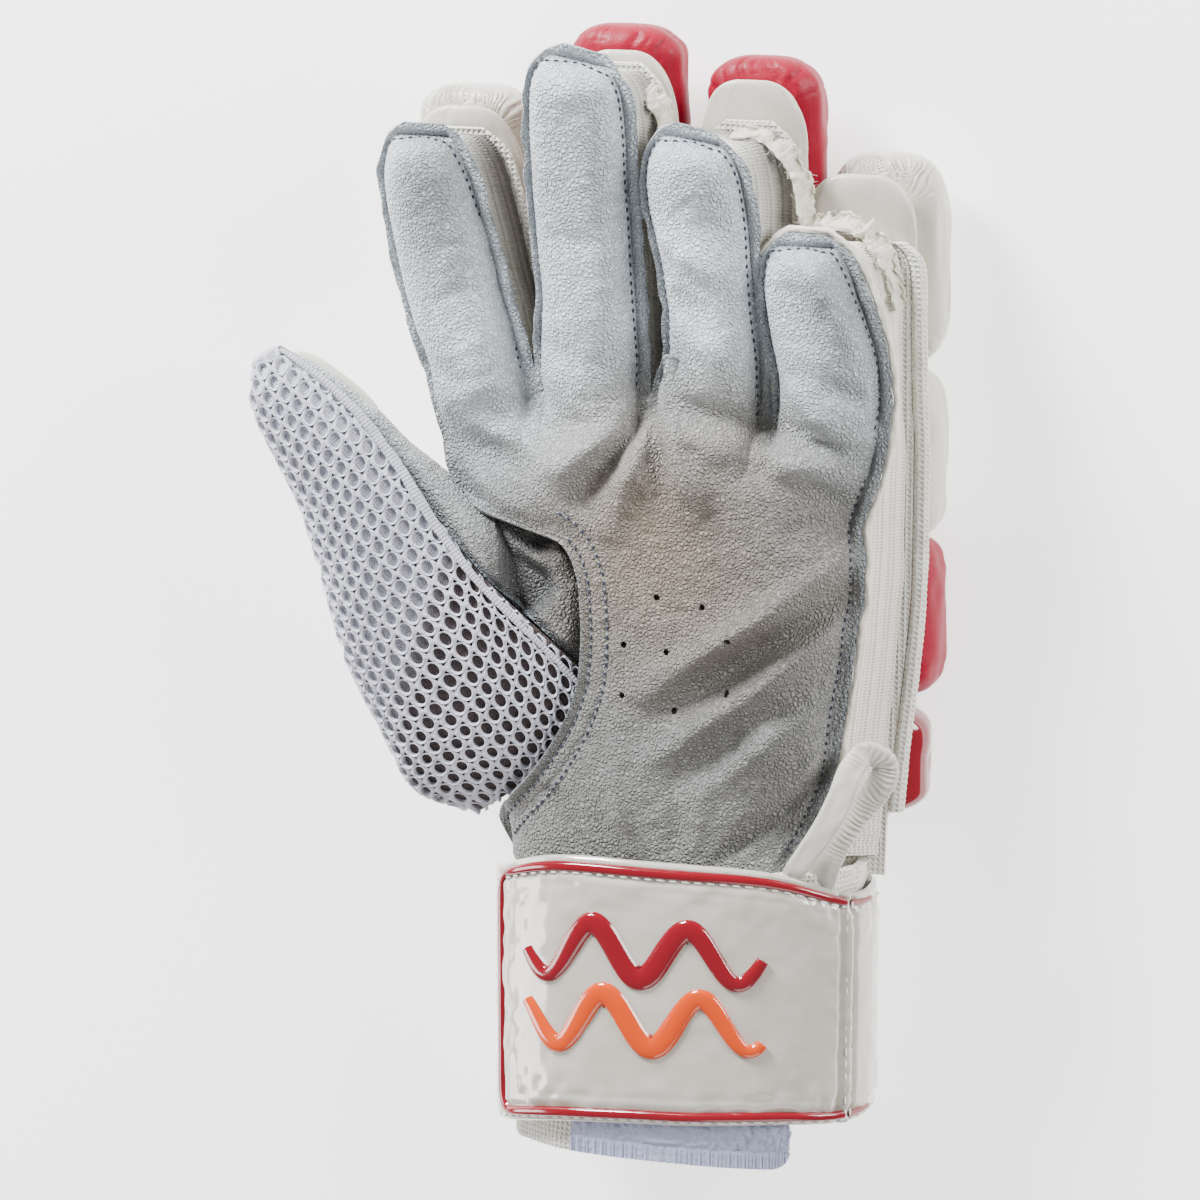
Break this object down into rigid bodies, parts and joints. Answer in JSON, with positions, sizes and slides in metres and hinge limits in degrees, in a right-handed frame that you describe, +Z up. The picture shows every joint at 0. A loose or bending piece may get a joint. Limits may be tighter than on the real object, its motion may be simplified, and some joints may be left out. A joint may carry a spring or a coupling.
{
  "type": "batting glove",
  "caption": "Padded cricket batting glove for the left hand: grained palm leather, mesh thumb, knitted finger sides, sausage rolls behind and a wrap-round wrist strap.",
  "frame": {"origin": "on the floor under the middle of the glove as it lies on its padded back", "axes": "+Y towards the fingertips, +X towards the little finger, +Z up, out of the palm"},
  "size_m": [0.166, 0.2728, 0.0504],
  "materials": {
    "leather": "matt, fine grain",
    "knit": "ribbed knit",
    "spacer_mesh": "open spacer mesh",
    "white_pu": "satin coated leather",
    "red_pu": "satin coated leather",
    "gloss_red": "gloss",
    "gloss_white": "gloss",
    "gloss_orange": "gloss",
    "loop_tape": "fuzzy loop tape",
    "towelling": "towelling"
  },
  "bodies": {
    "root": {"palm_leather": "leather", "thumb_leather": "leather", "back_cloth": "towelling", "cuff": "towelling", "thumb_mesh": "spacer_mesh", "strap": "gloss_white", "strap_piping": "gloss_red", "strap_wave_red": "gloss_red", "strap_wave_orange": "gloss_orange", "fastening_tape": "loop_tape", "pull_loop": "white_pu", "side_binding": "knit", "back_plate": "gloss_red", "thumb_roll_base": "white_pu", "thumb_roll_tip": "white_pu", "knit_index_middle": "knit", "knit_middle_ring": "knit", "knit_ring_little": "knit", "knit_little_side": "knit", "knit_index_side": "knit", "index_pad": "white_pu", "index_roll_1": "white_pu", "index_roll_2": "white_pu", "hand_pad_index_upper": "white_pu", "hand_pad_index_lower": "red_pu", "middle_pad": "white_pu", "middle_roll_1": "red_pu", "middle_roll_2": "red_pu", "middle_roll_3": "red_pu", "hand_pad_middle_upper": "white_pu", "hand_pad_middle_lower": "red_pu", "ring_pad": "white_pu", "ring_roll_1": "red_pu", "ring_roll_2": "red_pu", "hand_pad_ring_upper": "white_pu", "hand_pad_ring_lower": "red_pu", "little_pad": "white_pu", "little_roll_1": "white_pu", "hand_pad_little_upper": "white_pu", "hand_pad_little_lower": "red_pu"}
  },
  "joints": []
}
